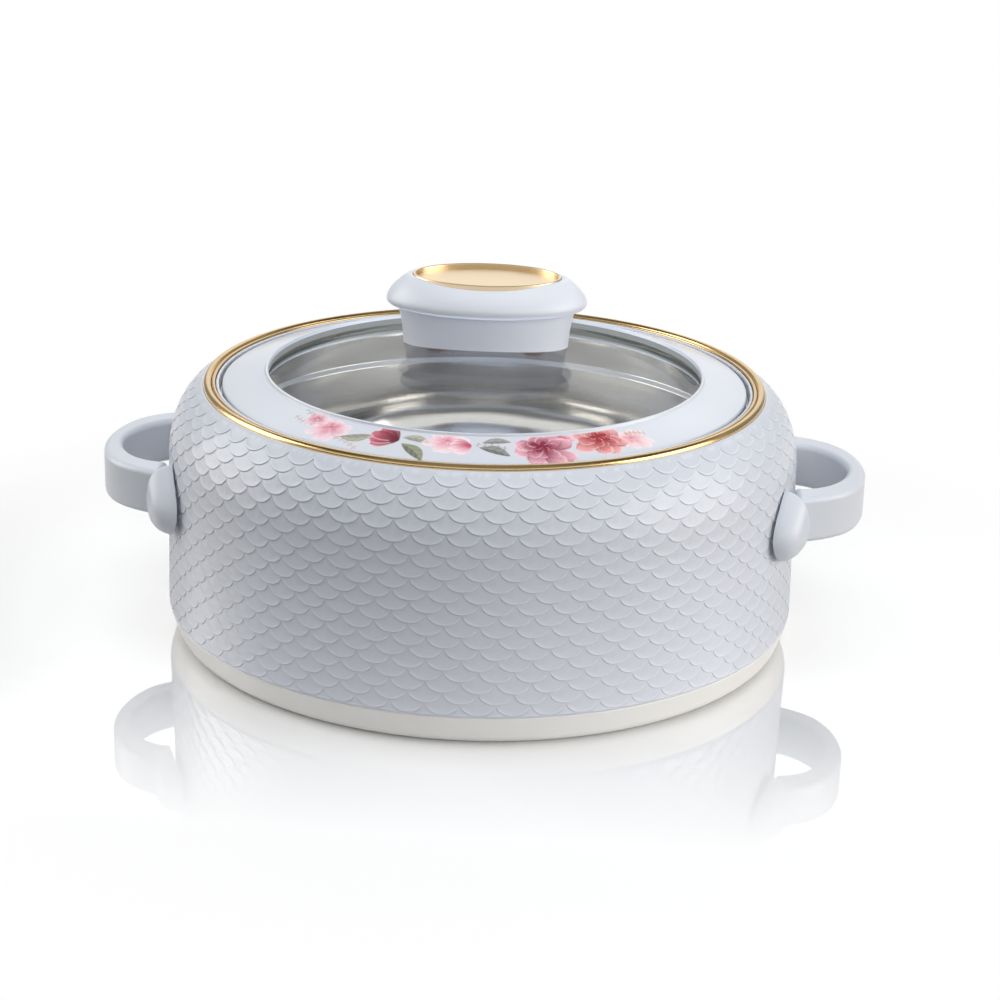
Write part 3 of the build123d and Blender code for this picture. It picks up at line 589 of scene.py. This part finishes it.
def leaf(canvas, x, y, at, length, width, turn, dark, light, depth=0.85):
    """A pointed leaf along its midrib: half width w sin(pi t) ** 0.8 over t from 0 to 1, one half
    darker than the other, with a pale midrib and slanting veins."""
    dx, dy = x - at[0], y - at[1]
    t = (dx * np.cos(turn) + dy * np.sin(turn)) / length
    v = (-dx * np.sin(turn) + dy * np.cos(turn)) - 0.10 * length * np.sin(pi * t)
    half = width / 2 * np.clip(np.sin(pi * np.clip(t, 0, 1)), 0, 1) ** 0.8
    side = soft_step(v, 0.5) * 0.55 + 0.15 * np.sin(26 * t - np.abs(v) * 2.5)
    within = (t > 0) * (t < 1)
    over(canvas, mixed(dark, light, side + 0.2), depth * soft_step(half - np.abs(v), 0.3) * within)
    midrib = soft_step(0.12 - np.abs(v), 0.15) * within
    over(canvas, mixed(light, "#FFFFFF", 0.3), 0.5 * depth * midrib)


def sprig(canvas, x, y, at, length, turn, colour, bud):
    """A thin bending stem, |v - 0.08 L sin(pi t)| < 0.2 mm, with round buds along both sides."""
    dx, dy = x - at[0], y - at[1]
    t = (dx * np.cos(turn) + dy * np.sin(turn)) / length
    v = (-dx * np.sin(turn) + dy * np.cos(turn)) - 0.08 * length * np.sin(pi * t)
    within = (t > 0) * (t < 1)
    over(canvas, mixed(colour, bud, 0.0), 0.8 * soft_step(0.20 - np.abs(v), 0.2) * within)
    beads = np.hypot((t * 5 % 1 - 0.5) * length / 5, np.abs(v) - 0.75)
    over(canvas, mixed(colour, bud, 0.6), 0.8 * soft_step(0.48 - beads, 0.3) * within)


# The transfer, laid out flat: x runs along the ring in mm from the front, y up its slope from
# the middle of the printed face. Motifs are painted from the back of the spray forwards.
PRINT_RADIUS = 92.3
PRINT_HALF = 7.9
x = (np.arctan2(lid_points[:, 1], lid_points[:, 0]) + pi / 2) * PRINT_RADIUS
y = PRINT_RADIUS - np.hypot(lid_points[:, 0], lid_points[:, 1])
canvas = np.zeros((len(lid_points), 4))
canvas[:, :3] = linear("#F0D6DA")[:3]

sprig(canvas, x, y, (-60, 4.6), 14, 2.85, "#3D3B36", "#5A5750")
sprig(canvas, x, y, (-61, 1.5), 12, 3.05, "#4A4843", "#B98C94")
leaf(canvas, x, y, (-62, 2.6), 8, 3.0, 2.5, "#55604C", "#9BA384", 0.75)
bloom(canvas, x, y, (-54, 1.0), 8.6, "#CF7F92", "#F8DCE3", 0.4, 0.65, 4)
bloom(canvas, x, y, (-63, 4.2), 5.6, "#C56F84", "#F4D2DA", 1.9, 0.6, 3)
sprig(canvas, x, y, (-49, -2.6), 12, -0.35, "#77776B", "#D098A5")
leaf(canvas, x, y, (-36, 3.0), 12, 5.0, -2.75, "#47533B", "#949C6E")
cup(canvas, x, y, (-25.5, 2.2), 12.5, 2.95, "#611226", "#C65A70", 0.95)
leaf(canvas, x, y, (-25, 4.4), 11, 4.0, -0.15, "#4C5844", "#A0A77C")
leaf(canvas, x, y, (-24, 0.8), 13, 5.2, -0.75, "#424E3A", "#8D9670", 0.95)
bloom(canvas, x, y, (-8.0, 3.6), 8.4, "#DE93A4", "#FDF0F2", 2.3, 0.6, 4)
cup(canvas, x, y, (1.0, 3.0), 9.0, -2.85, "#BE4F6A", "#FBE0E6", 0.85)
leaf(canvas, x, y, (4.5, 4.6), 11, 3.6, 0.05, "#4F5653", "#8E9590", 0.9)
leaf(canvas, x, y, (3.5, 1.8), 12, 4.6, -0.45, "#474F4C", "#868E88", 0.95)
sprig(canvas, x, y, (2.0, 3.4), 12, -0.20, "#555B57", "#8B918B")
leaf(canvas, x, y, (43, 2.0), 10, 4.2, -0.9, "#5B6352", "#A2A98B", 0.85)
bloom(canvas, x, y, (34, 5.6), 5.6, "#B9506C", "#F3C4CF", 2.0, 0.8, 3)
bloom(canvas, x, y, (26, 0.2), 11.6, "#84173A", "#EDB2C0", 0.9, 0.95, 5)
bloom(canvas, x, y, (61, 0.0), 7.4, "#D9959E", "#FBE7E9", 1.0, 0.6, 4)
bloom(canvas, x, y, (49, 2.6), 11.0, "#9A0F1C", "#F2ABA9", 2.6, 0.95, 5)
sprig(canvas, x, y, (60, 4.2), 9, -0.25, "#8A8B72", "#D9A86C")
on_face = np.repeat(printed_face, len(angles))
canvas[:, 3] *= soft_step(PRINT_HALF - np.abs(y), 0.5) * on_face
lid_ring = mesh_piece("lid_ring", lid_points,
                      grid_faces(len(lid_line), len(angles), closed_rows=True),
                      {"print": canvas}, sharp=40.0)

# Transfer print under a clear coat: the ink takes the gloss of the plastic around it, and its
# colours lie on it like watercolour.
lid_gloss, tree, skin, tint = moulded("white ABS, high gloss", "#CCD0D8", 0.20, 1.3, 0.006, 0.015)
ink = add_node(tree, "ShaderNodeAttribute", {"attribute_name": "print"})
printed = add_node(tree, "ShaderNodeMix", {"data_type": "RGBA"},
                   {0: ink.outputs["Alpha"], 6: tint.outputs[2], 7: ink.outputs["Color"]})
tree.links.new(printed.outputs[2], skin.inputs["Base Color"])
dress(lid_ring, lid_gloss, "lid_plastic", "lid", "lid_ring")


# ---- under ring, seal and gasket ----
# The under ring is ABS too, and welds to the lid ring from below. The seal is a flat ring of
# milky silicone, and the gasket a silicone channel, grey partly as painted shade, that holds the
# rim of the glass.

# The same ABS, less polished because it doesn't show.
under_white = moulded("white ABS under the lid", "#C9CDD3", 0.30, 1.3, 0.006)[0]
dress(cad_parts["lid_under_ring"], under_white, "lid_plastic")


def silicone(name, colour, roughness):
    """Moulded silicone: slightly soft-looking and dusty, with light going a little way in."""
    made, tree = new_material(name)
    place = add_node(tree, "ShaderNodeTexCoord").outputs["Object"]
    dust = add_node(tree, "ShaderNodeTexNoise", {"Scale": 150.0, "Detail": 4.0}, {"Vector": place})
    base = linear(colour)
    tone = add_node(tree, "ShaderNodeMix",
                    {"data_type": "RGBA", 6: (*(0.93 * c for c in base[:3]), 1.0), 7: base},
                    {0: dust.outputs["Fac"]})
    matt = add_node(tree, "ShaderNodeMapRange",
                    {"To Min": roughness - 0.06, "To Max": roughness + 0.06},
                    {"Value": dust.outputs["Fac"]})
    skin = add_node(tree, "ShaderNodeBsdfPrincipled",
                    {"IOR": 1.41, "Subsurface Weight": 0.15, "Subsurface Scale": 0.5 * MM},
                    {"Base Color": tone.outputs[2], "Roughness": matt.outputs["Result"]})
    add_node(tree, "ShaderNodeOutputMaterial", None, {"Surface": skin.outputs["BSDF"]})
    return made


dress(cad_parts["lid_seal"], silicone("milky silicone", "#D8D8D2", 0.5), "seal_silicone")
# The gasket is partly its own grey and partly painted shade: it is drawn darker for the shaded band
# that shows through the glass under the window's rim.
dress(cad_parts["glass_gasket"], silicone("grey silicone", "#90928E", 0.55), "gasket_silicone")


# ---- glass ----
# Tempered soda-lime glass, 3 mm, pressed to a low dome with a flat ground rim, and drilled with
# two holes for the knob before tempering. It is clear, and faintly green through its thickness.

GLASS_THICK = 3.0
GLASS_EDGE = 86.0
RIM_RADIUS = 80.0
RIM_TOP = 98.57
DOME_RISE = 15.6
RIM_FLAT = 81.5
BEVEL = 0.4
BEVEL_MIDDLE = (0.10, 0.12)
SHINE_MOST = 0.16
dome_radius = (RIM_RADIUS ** 2 + DOME_RISE ** 2) / (2 * DOME_RISE)
dome_centre = RIM_TOP + DOME_RISE - dome_radius


def dome(radius, r):
    """Height of a sphere of this radius about the dome's centre: centre + sqrt(R^2 - r^2)."""
    return dome_centre + np.sqrt(radius ** 2 - r ** 2)


top_r = np.linspace(0, RIM_RADIUS, 41)
under_radius = dome_radius - GLASS_THICK
under_edge = np.sqrt(under_radius ** 2 - (RIM_TOP - GLASS_THICK - dome_centre) ** 2)
under_r = np.linspace(under_edge, 0, 41)
rim_top = np.array([[RIM_FLAT, RIM_TOP], [GLASS_EDGE - BEVEL, RIM_TOP],
                    [GLASS_EDGE - BEVEL_MIDDLE[0], RIM_TOP - BEVEL_MIDDLE[1]],
                    [GLASS_EDGE, RIM_TOP - BEVEL]])
rim_under = np.stack([rim_top[::-1, 0], 2 * RIM_TOP - GLASS_THICK - rim_top[::-1, 1]], -1)
glass_line = np.concatenate([
    np.stack([top_r, dome(dome_radius, top_r)], -1), rim_top, rim_under,
    np.stack([under_r, dome(under_radius, under_r)], -1),
])
glass = mesh_piece("glass", turned(glass_line, np.radians(np.arange(180) * 2.0)),
                   grid_faces(len(glass_line), 180), sharp=50.0)

# Clear glass, drawn as thin sheets that don't bend what lies behind them: each face lets light
# through with a trace of green, more of it the flatter one looks along it, and mirrors what its
# Fresnel share gives, up to a sixth, above which so low a dome would only show plain backdrop.
clear_glass, tree = new_material("tempered soda-lime glass")
place = add_node(tree, "ShaderNodeTexCoord").outputs["Object"]
draw = add_node(tree, "ShaderNodeTexNoise", {"Scale": 18.0, "Detail": 1.0}, {"Vector": place})
ripple = add_node(tree, "ShaderNodeBump", {"Strength": 0.3, "Distance": 0.05 * MM},
                  {"Height": draw.outputs["Fac"]})
smear = add_node(tree, "ShaderNodeMapRange", {"To Min": 0.01, "To Max": 0.05},
                 {"Value": draw.outputs["Fac"]})
low_look = add_node(tree, "ShaderNodeLayerWeight", {"Blend": 0.25})
green = add_node(tree, "ShaderNodeMix",
                 {"data_type": "RGBA", 6: linear("#FDFDFD"), 7: linear("#F5F8F7")},
                 {0: low_look.outputs["Facing"]})
pane = add_node(tree, "ShaderNodeBsdfTransparent", None, {"Color": green.outputs[2]})
shine = add_node(tree, "ShaderNodeBsdfGlossy", None,
                 {"Roughness": smear.outputs["Result"], "Normal": ripple.outputs["Normal"]})
fresnel = add_node(tree, "ShaderNodeFresnel", {"IOR": 1.5})
share = add_node(tree, "ShaderNodeMath", {"operation": "MINIMUM", 1: SHINE_MOST},
                 {0: fresnel.outputs["Fac"]})
both = add_node(tree, "ShaderNodeMixShader", None,
                {0: share.outputs["Value"], 1: pane.outputs["BSDF"], 2: shine.outputs["BSDF"]})
add_node(tree, "ShaderNodeOutputMaterial", None, {"Surface": both.outputs["Shader"]})
dress(glass, clear_glass, "lid_glass", "lid", "lid_glass")


# ---- knob ----
# An oval grip in two ABS mouldings, a waisted body and a lens-shaped cap with rolled edges, in
# satin white. A metallised plate lies in the cap. Two screws come up from below through brown
# silicone grommets in the glass.

# Satin ABS again, a shade paler: the lamps show as soft patches on its rolled edges.
knob_satin = moulded("satin white ABS of the knob", "#D4D8E0", 0.34, 0.8, 0.008)[0]
for node in ("knob_body", "knob_cap"):
    dress(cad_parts[node], knob_satin, "knob_plastic")
# A satin metallised plate: pale gold that takes the light evenly.
plate_gold = metallised("pale gold satin plate", "#EAD2AA", "#F3E0C0", 0.34)
dress(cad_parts["knob_plate"], plate_gold, "gold_trim")
dress(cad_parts["knob_grommets"], silicone("brown silicone", "#6E4A38", 0.5), "grommet_rubber")


# ---- floor ----
# A sheet of gloss-white acrylic that the casserole stands on, wide enough to run out of view. It
# mirrors near the object, where one looks low along it, and fades to plain white further out.

FLOOR_SIZE = 12.0
FLOOR_DROP = 0.2 * MM
MIRROR_DEPTH = (0.080, 0.185)
MIRROR_REACH = (0.20, 0.30)
MIRROR_SHARE = 0.55
PLAIN_FROM = (0.13, 0.30)

bpy.ops.mesh.primitive_plane_add(size=FLOOR_SIZE, location=(0, 0, -FLOOR_DROP))
floor = bpy.context.object
floor.name = "floor"
# Gloss acrylic: a clear mirror image under the object. Further out its own white gives way to an
# even glow, so that it meets the backdrop without an edge; the glow lights nothing.
floor_white, tree = new_material("gloss white acrylic")
place = add_node(tree, "ShaderNodeTexCoord").outputs["Object"]
far = add_node(tree, "ShaderNodeVectorMath", {"operation": "LENGTH"}, {0: place}).outputs["Value"]
axes = add_node(tree, "ShaderNodeSeparateXYZ", None, {"Vector": place})
depth = add_node(tree, "ShaderNodeMath", {"operation": "ABSOLUTE"}, {0: axes.outputs["Y"]})
shallow = add_node(tree, "ShaderNodeMapRange",
                   {"From Min": MIRROR_DEPTH[0], "From Max": MIRROR_DEPTH[1],
                    "To Min": MIRROR_SHARE, "To Max": 0.0}, {"Value": depth.outputs["Value"]})
near = add_node(tree, "ShaderNodeMapRange",
                {"From Min": MIRROR_REACH[0], "From Max": MIRROR_REACH[1],
                 "To Min": 1.0, "To Max": 0.0}, {"Value": far})
low_look = add_node(tree, "ShaderNodeLayerWeight", {"Blend": 0.5})
low = add_node(tree, "ShaderNodeMapRange", {"From Min": 0.2, "From Max": 0.55},
               {"Value": low_look.outputs["Facing"]})
nearby = add_node(tree, "ShaderNodeMath", {"operation": "MULTIPLY"},
                  {0: shallow.outputs["Result"], 1: near.outputs["Result"]})
share = add_node(tree, "ShaderNodeMath", {"operation": "MULTIPLY"},
                 {0: nearby.outputs["Value"], 1: low.outputs["Result"]})
plain = add_node(tree, "ShaderNodeMapRange", {"From Min": PLAIN_FROM[0], "From Max": PLAIN_FROM[1]},
                 {"Value": far})
ray = add_node(tree, "ShaderNodeLightPath")
direct = add_node(tree, "ShaderNodeMath", {"operation": "MAXIMUM"},
                  {0: ray.outputs["Is Camera Ray"], 1: ray.outputs["Is Glossy Ray"]})
seen = add_node(tree, "ShaderNodeMath", {"operation": "MAXIMUM"},
                {0: direct.outputs["Value"], 1: ray.outputs["Is Transmission Ray"]})
level = add_node(tree, "ShaderNodeMapRange", {"To Min": 0.115, "To Max": 1.0},
                 {"Value": plain.outputs["Result"]})
glow = add_node(tree, "ShaderNodeMath", {"operation": "MULTIPLY"},
                {0: level.outputs["Result"], 1: seen.outputs["Value"]})
tone = add_node(tree, "ShaderNodeMapRange", {"To Min": 0.75, "To Max": 0.0},
                {"Value": plain.outputs["Result"]})
matt = add_node(tree, "ShaderNodeBsdfDiffuse", None, {"Color": tone.outputs["Result"]})
lift = add_node(tree, "ShaderNodeEmission", None, {"Strength": glow.outputs["Value"]})
lit = add_node(tree, "ShaderNodeAddShader", None,
               {0: matt.outputs["BSDF"], 1: lift.outputs["Emission"]})
mirror = add_node(tree, "ShaderNodeBsdfGlossy",
                  {"Roughness": 0.02, "Color": (0.97, 0.97, 0.97, 1.0)})
sheet = add_node(tree, "ShaderNodeMixShader", None,
                 {0: share.outputs["Value"], 1: lit.outputs["Shader"], 2: mirror.outputs["BSDF"]})
add_node(tree, "ShaderNodeOutputMaterial", None, {"Surface": sheet.outputs["Shader"]})
floor.data.materials.append(floor_white)


# ---- light and camera ----
# A studio: soft lamps above, right, left, in front and behind. The backdrop is white to the eye.
# In mirrors it is bright low down between two dark flags, the side behind the camera is dim
# below and bright above, and the ceiling is dim.

world = bpy.data.worlds.new("white room")
bpy.context.scene.world = world
world.use_nodes = True
tree = world.node_tree
tree.nodes.clear()
ray = add_node(tree, "ShaderNodeLightPath")
way = add_node(tree, "ShaderNodeSeparateXYZ", None,
               {"Vector": add_node(tree, "ShaderNodeTexCoord").outputs["Generated"]})


def by_height(stops):
    """Brightness against the height Z of a direction: straight lines between (Z, level) stops."""
    ramp = add_node(tree, "ShaderNodeValToRGB", None, {"Fac": way.outputs["Z"]})
    line = ramp.color_ramp.elements
    line.remove(line[1])
    for i, (z, level) in enumerate(stops):
        stop = line.new(z) if i else line[0]
        stop.position, stop.color = z, (level, level, level, 1.0)
    return ramp.outputs["Color"]


behind_camera = by_height([(0.28, 0.06), (0.36, 1.60), (0.48, 1.50), (0.58, 0.45), (0.80, 0.30)])
behind_pot = by_height([(0.40, 1.10), (0.46, 1.60), (0.58, 1.50), (0.66, 0.35), (0.80, 0.30)])
across = add_node(tree, "ShaderNodeMath", {"operation": "ABSOLUTE"}, {0: way.outputs["X"]})
flags = add_node(tree, "ShaderNodeMapRange",
                 {"From Min": 0.22, "From Max": 0.40, "To Min": 1.0, "To Max": 0.3},
                 {"Value": across.outputs["Value"]})
backdrop = add_node(tree, "ShaderNodeMath", {"operation": "MULTIPLY"},
                    {0: behind_pot, 1: flags.outputs["Result"]})
side = add_node(tree, "ShaderNodeMapRange",
                {"interpolation_type": "SMOOTHSTEP", "From Min": -0.45, "From Max": 0.1},
                {"Value": way.outputs["Y"]})
room = add_node(tree, "ShaderNodeMix", {"data_type": "FLOAT"},
                {0: side.outputs["Result"], 2: behind_camera, 3: backdrop.outputs["Value"]})
bounced = add_node(tree, "ShaderNodeMath", {"operation": "MAXIMUM"},
                   {0: ray.outputs["Is Glossy Ray"], 1: ray.outputs["Is Transmission Ray"]})
in_mirror = add_node(tree, "ShaderNodeMath", {"operation": "MULTIPLY"},
                     {0: bounced.outputs["Value"], 1: room.outputs[0]})
level = add_node(tree, "ShaderNodeMath", {"operation": "MAXIMUM"},
                 {0: ray.outputs["Is Camera Ray"], 1: in_mirror.outputs["Value"]})
sky = add_node(tree, "ShaderNodeBackground", {"Color": (1.0, 1.0, 1.0, 1.0)},
               {"Strength": level.outputs["Value"]})
add_node(tree, "ShaderNodeOutputWorld", None, {"Surface": sky.outputs["Background"]})


def softbox(name, place, size, power, colour, mirrored=True, aim=(0.0, 0.0, 0.05)):
    """A rectangular area lamp at PLACE, facing AIM; MIRRORED lamps show in glossy surfaces."""
    lamp = bpy.data.lights.new(name, "AREA")
    lamp.color = linear(colour)[:3]
    lamp.shape, lamp.size, lamp.size_y, lamp.energy = "RECTANGLE", size[0], size[1], power
    made = bpy.data.objects.new(name, lamp)
    made.location = place
    made.rotation_euler = (Vector(aim) - Vector(place)).to_track_quat("-Z", "Y").to_euler()
    made.visible_glossy = mirrored
    made.visible_camera = False
    bpy.context.scene.collection.objects.link(made)


softbox("top", (0.0, -0.2, 1.4), (1.2, 1.0), 13.5, "#F5FAFF", False)
softbox("right", (1.2, -0.25, 0.4), (1.0, 0.9), 10.6, "#FFFBF7")
softbox("right front", (0.95, -1.1, 0.5), (0.9, 0.8), 5.0, "#FFFBF7", False)
softbox("front", (0.2, -1.4, 1.1), (1.0, 0.6), 5.6, "#FFFFFF", False)
softbox("left", (-1.1, 0.15, 0.5), (0.8, 0.9), 8.8, "#FFFBF7")
softbox("behind", (0.0, 1.3, 0.8), (1.6, 0.8), 4.0, "#FFFFFF", False)
# What the steel throws up against the knob and the underside of the lid.
softbox("bounce", (0.0, 0.0, 0.03), (0.1, 0.1), 0.20, "#E4EBFB", False, (0.0, 0.0, 0.1))

LENS = 79.2
SENSOR = 36.0
DISTANCE = 0.8566
ELEVATION = radians(18.79)
AZIMUTH = radians(3.1)
ROLL = radians(1.42)
SHIFT = (0.0176, -0.0287)
target = Vector((0.0, 0.0, 0.060))
camera = bpy.data.cameras.new("camera")
camera.lens, camera.sensor_width = LENS, SENSOR
camera.shift_x, camera.shift_y = SHIFT
away = Vector((cos(ELEVATION) * sin(AZIMUTH), -cos(ELEVATION) * cos(AZIMUTH), sin(ELEVATION)))
look = (-away).to_track_quat("-Z", "Y").to_matrix() @ Matrix.Rotation(ROLL, 3, "Z")
stand = bpy.data.objects.new("camera", camera)
stand.rotation_euler = look.to_euler()
stand.location = target + away * DISTANCE
bpy.context.scene.collection.objects.link(stand)
bpy.context.scene.camera = stand
bpy.context.scene.view_settings.view_transform = "Standard"
